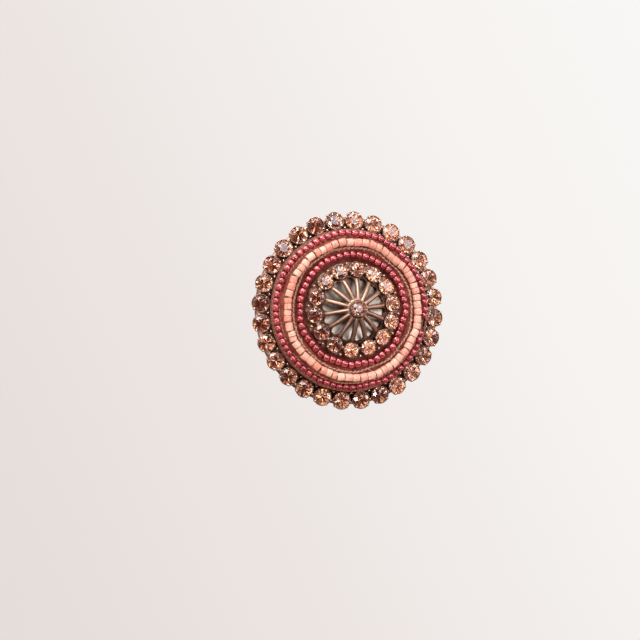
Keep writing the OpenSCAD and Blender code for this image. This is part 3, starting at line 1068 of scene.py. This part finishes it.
SHEET_T = 0.3
SHEET_DROP = SHEET_T / math.cos(math.radians(LEAN))
FOOT_R = BED_R + 0.35
FOOT_OUT = FOOT_R + 0.4
OUTER_EDGE = OUTER["r"] + 0.9
outer_edge_h = sheet_height(OUTER_EDGE, OUTER)
outer_outline = [
    (FOOT_R, PLATE_T), (FOOT_R, sheet_height(FOOT_R, OUTER)),
    (OUTER_EDGE, outer_edge_h), (OUTER_EDGE, outer_edge_h - SHEET_DROP),
    (FOOT_OUT, sheet_height(FOOT_OUT, OUTER) - SHEET_DROP), (FOOT_OUT, PLATE_T),
]
outer_pile = Pile()
outer_pile.add(turned(softened(outer_outline, 0.05), 168, closed=True), wear=0.3)
place_cups(outer_pile, OUTER, LEAN, OUTER_CLAW_WIDE, random.Random(31), OUTER_PILLARS)
outer_cups = outer_pile.build("outer_cups", cup_brass)
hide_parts("outer_setting")

# %% Inner ring of cups
INNER_EDGE = INNER["r"] + (INNER["cup_r"] - CUP_TAPER) * math.cos(math.radians(LEAN)) + 0.1
RECESS_R = 5.9
RECESS_H = sheet_height(RECESS_R, INNER) - SHEET_T
STEP_R = RECESS_R - 0.7
FLANGE_R = 9.0
SLOPE_IN, SLOPE_OUT = RECESS_R + 0.3, INNER_EDGE - 0.3
inner_outline = [
    (STEP_R, SEAT_H), (STEP_R, RECESS_H),
    (RECESS_R, RECESS_H), (RECESS_R, sheet_height(RECESS_R, INNER)),
    (INNER_EDGE, SEAT_H + SHEET_DROP), (FLANGE_R, SEAT_H + SHEET_DROP),
    (FLANGE_R, SEAT_H), (SLOPE_OUT, SEAT_H),
    (SLOPE_OUT, sheet_height(SLOPE_OUT, INNER) - SHEET_DROP),
    (SLOPE_IN, sheet_height(SLOPE_IN, INNER) - SHEET_DROP),
    (SLOPE_IN, RECESS_H - SHEET_T), (STEP_R + 0.4, RECESS_H - SHEET_T), (STEP_R + 0.4, SEAT_H),
]
inner_pile = Pile()
inner_pile.add(turned(softened(inner_outline, 0.04), 140, closed=True), wear=0.3)
place_cups(inner_pile, INNER, LEAN, INNER_CLAW_WIDE, random.Random(32), INNER_PILLARS)
inner_cups = inner_pile.build("inner_cups", cup_brass)
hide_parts("inner_setting")

# %% [markdown]
# ## Rosette
#
# The rosette is one domed plate with fourteen pierced teardrops. A raised rib runs along each
# spoke between them. Cutting holes in a dome leaves poor faces, so the plate is woven from
# strips instead: each strip runs round one teardrop, from its cut edge out to the border with
# the next petal. This cell makes the two borders of that strip, with equally many points.

# %% Petal outline
PETALS = 14
HALF_TURN = math.pi / PETALS
DOME_R, DOME_TOP, ROSETTE_T = 9.027, 9.7, 0.4
GAP_START, GAP_START_R, GAP_END_R = 2.57, 0.12, 0.75
PETAL_AT, PETAL_R, SPOKE_END, RIB_R, HUB_R = 5.352, 1.05, 5.988, 0.26, 2.0
HUB_IN = 1.8
EDGE_ROUND = 0.1
TIP_STEPS, SIDE_STEPS, END_STEPS = 4, 14, 12


def arc(x, r, start, end, steps):
    """Points of an arc round (x, 0), angles in radians."""
    turn = np.linspace(start, end, steps + 1)
    return np.stack([x + r * np.cos(turn), r * np.sin(turn)], axis=1)


def line(start, end, steps):
    return np.linspace(start, end, steps + 1)


def petal_loops():
    """Matching points round the teardrop and round its petal, which lies along x."""
    lean_side = math.asin((GAP_END_R - GAP_START_R) / (PETAL_AT - GAP_START))
    tip = arc(GAP_START, GAP_START_R, math.pi, math.pi / 2 + lean_side, TIP_STEPS)
    end = arc(PETAL_AT, GAP_END_R, math.pi / 2 + lean_side, 0, END_STEPS)
    inner = np.concatenate([tip[:-1], line(tip[-1], end[0], SIDE_STEPS)[:-1], end])
    hub = arc(0, HUB_IN, 0, HALF_TURN, TIP_STEPS)
    spoke_end = arc(0, SPOKE_END, HALF_TURN, HALF_TURN, 0)[0]
    meet = math.acos((SPOKE_END ** 2 + PETAL_AT ** 2 - PETAL_R ** 2) / (2 * SPOKE_END * PETAL_AT))
    start = math.atan2(SPOKE_END * math.sin(meet), SPOKE_END * math.cos(meet) - PETAL_AT)
    valley = arc(0, SPOKE_END, HALF_TURN, meet, 2)
    round_end = arc(PETAL_AT, PETAL_R, start, 0, END_STEPS - 2)
    outer = np.concatenate([hub[:-1], line(hub[-1], spoke_end, SIDE_STEPS)[:-1], valley[:-1], round_end])
    both = []
    for half in (inner, outer):
        mirrored = half[-2:0:-1] * (1, -1)
        both.append(np.concatenate([half, mirrored]))
    return both


inner_loop, outer_loop = petal_loops()
loop_length = len(inner_loop)
print("points round one petal:", loop_length)

# %% [markdown]
# The height of each point comes from the dome and from how near the point is to a rib. The ribs
# are like round wire sunk to its middle, with a round tip where the spoke ends.

# %% Dome and ribs
def ridge(distance, size):
    """Height of a round wire sunk to its middle, at a distance from its line."""
    return size * np.sqrt(np.clip(1 - (distance / (size * 1.12)) ** 2, 0, 1))


def rib_height(x, y):
    """Height of the ribs over the dome's surface."""
    past = np.abs(y)
    off_spoke = np.abs(-x * math.sin(HALF_TURN) + past * math.cos(HALF_TURN))
    along_spoke = x * math.cos(HALF_TURN) + past * math.sin(HALF_TURN)
    past_end = np.maximum(along_spoke - (SPOKE_END - RIB_R), 0)
    return ridge(np.hypot(off_spoke, past_end), RIB_R)


def dome_height(x, y):
    return DOME_TOP - DOME_R + np.sqrt(DOME_R ** 2 - x ** 2 - y ** 2)


on_spoke = (4.0 * math.cos(HALF_TURN), 4.0 * math.sin(HALF_TURN))
print("height of a rib over the dome in mm:", round(float(rib_height(*on_spoke)), 2))

# %% [markdown]
# Ten loops of points go from one border to the other. They make the top and the underside of a
# petal, and two narrow walls close it: one round the teardrop, and one round the rim of the
# whole plate, where a petal has no neighbour. The tops of the ribs are rubbed bright.

# %% Weave the rosette
shares = np.array([0, 0.07, 0.16, 0.27, 0.38, 0.5, 0.62, 0.74, 0.87, 1.0])[:, None, None]
flat_points = inner_loop[None] * (1 - shares) + outer_loop[None] * shares
x, y = flat_points[..., 0], flat_points[..., 1]
relief = rib_height(x, y)
edge_round = EDGE_ROUND * np.array([1, 0.35] + [0.0] * 8)[:, None]
top = np.stack([x, y, dome_height(x, y) + relief - edge_round], axis=2)
under = np.stack([x, y, dome_height(x, y) - ROSETTE_T], axis=2)
quads = grid_faces(len(shares), loop_length)
wall = grid_faces(2, loop_length)
loop_index = np.arange(loop_length)
hub_part = (loop_index < TIP_STEPS) | (loop_index >= loop_length - TIP_STEPS)
spoke_from = TIP_STEPS + SIDE_STEPS
end_part = (loop_index >= spoke_from) & (loop_index < loop_length - spoke_from)
rosette_pile = Pile()
for i in range(PETALS):
    angle = FIRST_ANGLE + (i + 0.5) * 360 / PETALS
    for sheet, wear in ((top, 0.25 + 0.75 * relief / RIB_R), (under, 0 * relief)):
        placed = on_ring(sheet.reshape(-1, 3), angle, 0, 0)
        rosette_pile.add((placed, quads), wear=wear.ravel())
    cut_wall = np.concatenate([top[0], under[0]])
    rosette_pile.add((on_ring(cut_wall, angle, 0, 0), wall), wear=0.35)
    rim_wall = np.concatenate([top[-1], under[-1]])
    rosette_pile.add((on_ring(rim_wall, angle, 0, 0), wall[hub_part | end_part]), wear=0.45)
print("faces woven so far:", len(rosette_pile.faces))

# %% [markdown]
# The hub is a turned button that closes the middle of the plate and stands on the disc below.
# Each row of its section is a radius, a height and how worn the metal is there. The centre cup
# is the same cup as before, with six claws, upright and without pillars.

# %% Hub and centre cup
hub_h = float(dome_height(HUB_R, 0))
DISC_R, DISC_TOP, DISC_T, DISH = 5.8, RECESS_H + 0.25, 0.25, 0.22
cup_r = CENTRE["cup_r"]
hub_section = np.array([
    (0, DISC_TOP - DISH, 0.0), (1.0, DISC_TOP - DISH, 0.0), (1.0, hub_h - 0.5, 0.1),
    (HUB_R - 0.06, hub_h - 0.38, 0.2), (HUB_R + 0.02, hub_h - 0.05, 0.5),
    (HUB_R + 0.02, hub_h + 0.08, 0.7), (HUB_R - 0.07, hub_h + 0.2, 0.8),
    (HUB_R - 0.2, hub_h + 0.26, 0.6), (HUB_R - 0.32, hub_h + 0.3, 0.3),
    (cup_r + 0.12, DOME_TOP + 0.16, 0.15), (cup_r + 0.02, DOME_TOP + 0.26, 0.5),
    (cup_r - 0.1, DOME_TOP + 0.2, 0.2), (0.6, DOME_TOP - 0.35, 0.1), (0, DOME_TOP - 0.35, 0.1),
])
HUB_SIDES = 72
hub_wear = np.repeat(hub_section[:, 2], HUB_SIDES)
rosette_pile.add(turned(hub_section[:, :2], HUB_SIDES), wear=hub_wear)
place_cups(rosette_pile, CENTRE, lean=0.0, claw_wide=CENTRE_CLAW_WIDE, dice=random.Random(33))
rosette = rosette_pile.build("rosette_and_cup", rose_brass)
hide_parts("rosette")

# %% [markdown]
# ## Stones
#
# The stones are foil-backed glass. Light goes through the clear crown, strikes the foil behind
# the pointed back and comes out again through another facet, so the table shows dark and bright
# wedges. A picture of a stone on a flat disc would stay the same from every side. Here the
# wedges are made by the renderer from an honest mesh: the crown is clear glass with a bright
# coat, and the back facets are a shiny foil that is met from inside the glass. The foil also
# glows faintly though it is no lamp, a painted light that keeps its darkest facets brown.

# %% Stone finishes
def clear_glass():
    finish = Finish("stone_glass", transmission_weight=1.0, IOR=1.66, roughness=0.02)
    finish.drive(
        base_color=finish.mix(finish.cloud(1.2), rgb(255, 243, 236), rgb(255, 250, 246)),
        coat_weight=0.4,
        coat_IOR=1.8,
    )
    return finish


def gold_foil():
    """Foil that goes from dark to bright with its tone, and from gold to pink with its tint, and glows
    faintly: a painted light.
    """
    finish = Finish("stone_foil_painted_glow", metallic=1.0)
    age_and_shade = finish.cloud(0.8, detail=3)
    tone = finish.mark("tone")
    tint = finish.mark("tint")
    middle = finish.mix(tint, rgb(246, 188, 140), rgb(228, 202, 206))
    bright = finish.mix(tint, rgb(255, 230, 188), rgb(252, 240, 242))
    dull = finish.mix(tone.step(0.0, 0.5), rgb(82, 40, 32), middle)
    finish.drive(
        base_color=finish.mix(tone.step(0.5, 1.0), dull, bright),
        roughness=0.04 + age_and_shade * 0.08,
        # Painted light: a faint brown glow, darker on the dark facets, though the foil is no lamp.
        emission_color=finish.mix(tone, rgb(58, 27, 20), rgb(78, 50, 40)),
        emission_strength=1.0,
    )
    return finish


glass_finish = clear_glass()
foil_finish = gold_foil()
count_nodes(glass_finish, foil_finish)

# %% [markdown]
# The cut is a plain round brilliant with eight main facets in front and behind. Its back is as
# deep as the cup allows, because a shallow one sends back too little light. Each main facet
# behind is split in two along its middle and bent a little, so the wedges come out finer.

# %% Cut of a stone
MAINS = 8
TABLE_SHARE, CROWN_SHARE, PAVILION_SHARE, GIRDLE_T = 0.54, 0.3, 0.86, 0.06
MAIN_SHARE, MAIN_BULGE = 0.42, 0.84


def cut_ring(count, r, z, turn=0.0):
    angle = (np.arange(count) + turn) * 2 * math.pi / count
    return np.stack([r * np.cos(angle), r * np.sin(angle), 0 * angle + z], axis=1)


def cut_points(r, deepest):
    """Points of a cut stone with its girdle at height 0, ring after ring from table to tip."""
    deep = min(PAVILION_SHARE * r, deepest)
    table_r, table_z = TABLE_SHARE * r, GIRDLE_T / 2 + CROWN_SHARE * r
    half_step = math.pi / MAINS
    star_r = (table_r * math.cos(half_step) + r) / 2
    star_run = (star_r * math.cos(half_step) - table_r) / (r - table_r)
    main_z = -GIRDLE_T / 2 - deep * (1 - MAIN_SHARE * MAIN_BULGE)
    return np.concatenate([
        cut_ring(MAINS, table_r, table_z),
        cut_ring(MAINS, star_r, table_z - star_run * CROWN_SHARE * r, 0.5),
        cut_ring(2 * MAINS, r, GIRDLE_T / 2),
        cut_ring(2 * MAINS, r, -GIRDLE_T / 2),
        cut_ring(MAINS, MAIN_SHARE * r, main_z, 0.5),
        [[0, 0, -GIRDLE_T / 2 - deep]],
    ])


def cut_faces():
    """Crown faces and back faces. The back starts with the girdle, then four for each main."""
    star, high, low, main, tip = (MAINS * share for share in (1, 2, 4, 6, 7))
    around = 2 * MAINS
    crown = [list(range(MAINS))]
    back = [[high + i, low + i, low + (i + 1) % around, high + (i + 1) % around] for i in range(around)]
    for i in range(MAINS):
        after, before = (i + 1) % MAINS, (i - 1) % MAINS
        corner, middle, next_corner = 2 * i, 2 * i + 1, (2 * i + 2) % around
        crown.append([i, star + before, high + corner, star + i])
        crown.append([i, star + i, after])
        crown.append([high + corner, high + middle, star + i])
        crown.append([high + middle, high + next_corner, star + i])
        back.append([low + corner, main + i, tip])
        back.append([low + corner, tip, main + before])
        back.append([low + corner, low + middle, main + i])
        back.append([low + middle, low + next_corner, main + i])
    return crown, back


crown_faces, back_faces = cut_faces()
print("faces of one stone:", len(crown_faces), "in front and", len(back_faces), "behind")

# %% [markdown]
# Each stone is turned and tipped a little in its cup, because no two sit quite alike. A tipped
# stone also sits lower, so that its table stays under the claws. Each back facet draws a tone
# and a tint for its foil, since old foil is dark in some places and gold or pink in others.

# %% Setting a stone
MAIN_TONES = (0.0, 0.0, 0.2, 0.9, 1.0)
EDGE_TONES = (0.0, 0.4, 1.0, 1.0, 1.0)
FOIL_TINTS = (0.0, 0.3, 0.7, 1.0)


def foil_tones(dice, age_and_shade):
    """A tone for every face: the same in front and round the girdle, drawn ones behind, then lowered by
    the stone's painted shading, which darkens some stones and brightens others.
    """
    tones = [0.8] * (len(crown_faces) + 2 * MAINS)
    for choices in (MAIN_TONES, MAIN_TONES, EDGE_TONES, EDGE_TONES) * MAINS:
        tones.append(dice.choice(choices))
    return np.clip(np.array(tones) - age_and_shade, 0, 1)


def set_stone(name, size, angle, lean, dice, tip, age_and_shade=0.0):
    """Sets one stone. tip is how far it leans in its cup and which way, or None to draw both."""
    how_far, which_way = tip or (dice.uniform(0, 3), dice.uniform(0, 360))
    sunk = TABLE_SHARE * size["glass_r"] * math.sin(math.radians(how_far))
    girdle_h = size["cup_h"] - GIRDLE_DROP - sunk
    points = cut_points(size["glass_r"], girdle_h - GIRDLE_T / 2 - CUP_FLOOR)
    points = on_ring(on_ring(points, dice.uniform(0, 45), 0, 0), which_way - angle, 0, 0, how_far)
    points[:, 2] += girdle_h
    points = facing(on_ring(points, angle, size["r"], size["h"], lean))
    mesh = bpy.data.meshes.new(name)
    mesh.from_pydata(points.tolist(), [], crown_faces + back_faces)
    slots = [0] * len(crown_faces) + [1] * len(back_faces)
    mesh.polygons.foreach_set("material_index", slots)
    tones = foil_tones(dice, age_and_shade)
    hues = random.Random(name)
    tints = [hues.choice(FOIL_TINTS) for _ in slots]
    for title, values in (("tone", tones), ("tint", tints)):
        layer = mesh.attributes.new(title, "FLOAT", "FACE")
        layer.data.foreach_set("value", np.array(values, np.float32))
    mesh.materials.append(glass_finish.material)
    mesh.materials.append(foil_finish.material)
    clean(mesh, join=False)
    stone = put_in_scene(bpy.data.objects.new(name, mesh))
    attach(stone, "root")
    return stone


print("a back facet has one of", len(set(MAIN_TONES + EDGE_TONES)), "tones and", len(FOIL_TINTS), "tints")

# %% [markdown]
# Most stones take their tip from the dice. Some are given one by one, where the light on a flat
# table shows how a stone sits: `TIPS` holds how far it leans and which way.
# `PAINTED_STONE_SHADING` lowers or raises the foil tone of a whole stone: a painted shade and
# light, which makes stones on the left darker and most stones on the right brighter.

# %% Set all the stones
TIPS = {
    "outer_stone_01": (6, 250), "outer_stone_02": (2, 270), "outer_stone_24": (4, 90),
    "outer_stone_04": (5, 200), "inner_stone_02": (2, 0), "inner_stone_03": (4, 0),
    "inner_stone_04": (5, 180), "inner_stone_05": (4, 200), "inner_stone_14": (2, 250),
    "inner_stone_13": (3, 170), "inner_stone_11": (5, 110),
}
# Painted shade and light: positive numbers darken a stone's foil, negative ones brighten it.
PAINTED_STONE_SHADING = {
    "outer_stone_03": 0.35, "outer_stone_04": 0.15, "outer_stone_06": 0.3, "outer_stone_08": 0.25,
    "outer_stone_09": 0.3, "outer_stone_10": 0.25, "outer_stone_13": 0.1, "outer_stone_15": -0.15,
    "outer_stone_18": -0.15, "outer_stone_01": -0.15, "outer_stone_24": -0.1, "outer_stone_26": -0.2,
    "outer_stone_27": -0.2, "outer_stone_28": -0.2, "inner_stone_04": 0.4, "inner_stone_05": 0.25,
    "inner_stone_06": 0.35, "inner_stone_08": -0.2, "inner_stone_09": -0.15, "inner_stone_10": -0.2,
    "inner_stone_13": -0.15, "inner_stone_14": -0.1,
}
dice = random.Random(41)
for title, size in (("outer_stone", OUTER), ("inner_stone", INNER)):
    for i in range(size["count"]):
        node = f"{title}_{i + 1:02d}"
        angle = FIRST_ANGLE + i * 360 / size["count"]
        stone = set_stone("cut_" + node, size, angle, LEAN, dice, TIPS.get(node), PAINTED_STONE_SHADING.get(node, 0.0))
        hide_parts(node)
stone = set_stone("cut_centre_stone", CENTRE, FIRST_ANGLE, lean=0.0, dice=dice, tip=(3, 90))
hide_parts("centre_stone")
print("stones set:", OUTER["count"] + INNER["count"] + CENTRE["count"])

# %% [markdown]
# ## Plate, post and bright disc
#
# The plate and the post are plain solids on the real thing too, so the frame's own shapes stay
# and only their finish is made: a rubbed, slightly scratched white metal. The scratches are
# noise that is stretched one way. As relief they would cost a great many faces.

# %% Rubbed metal
def rubbed_metal(name, dark, bright, rough, line_width, ripple):
    """White metal with fine scratches that run one way, and a few soft stains."""
    finish = Finish(name, metallic=1.0)
    stretch = finish.node("VectorMath", {"operation": "MULTIPLY"}, {0: finish.place, 1: (0.12, 1.0, 1.0)})
    scratch = finish.cloud(line_width, detail=2, place=stretch)
    stain = finish.cloud(2.6, detail=4)
    finish.drive(
        base_color=finish.mix(stain.step(0.3, 0.7), dark, bright),
        roughness=rough + (scratch - 0.5) * 0.2 + (1 - stain) * 0.1,
    )
    finish.bump(scratch * 0.4 + stain, ripple)
    return finish


plate_metal = rubbed_metal(
    "back_metal", rgb(178, 172, 166), rgb(204, 198, 192), rough=0.34, line_width=0.09, ripple=0.02,
)
disc_metal = rubbed_metal(
    "bright_disc", rgb(146, 128, 112), rgb(212, 199, 183), rough=0.3, line_width=0.15, ripple=0.015,
)
count_nodes(plate_metal, disc_metal)
for node in ("base_plate", "ear_post"):
    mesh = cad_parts[node].data
    mesh.materials.clear()
    mesh.materials.append(plate_metal.material)
    print(node, "keeps its", len(mesh.polygons), "faces")

# %% [markdown]
# The bright disc under the rosette is thin and a little dished, so its lower half mirrors the
# lamps and its upper half the dark of the room. It is turned from a section with a shallow
# curve and softened edges.

# %% Dished disc
DISC_SOFT = 0.04
dish_r = np.linspace(0, DISC_R - 0.03, 24)
disc_profile = [(r, DISC_TOP - DISH * (1 - (r / DISC_R) ** 2)) for r in dish_r]
disc_profile += [
    (DISC_R, DISC_TOP - DISC_SOFT), (DISC_R, DISC_TOP - DISC_T + DISC_SOFT),
    (DISC_R - DISC_SOFT, DISC_TOP - DISC_T), (0, DISC_TOP - DISC_T),
]
disc_pile = Pile()
disc_pile.add(turned(disc_profile, 96))
disc = disc_pile.build("dished_disc", disc_metal, sharp=30)
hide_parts("rosette_plate")
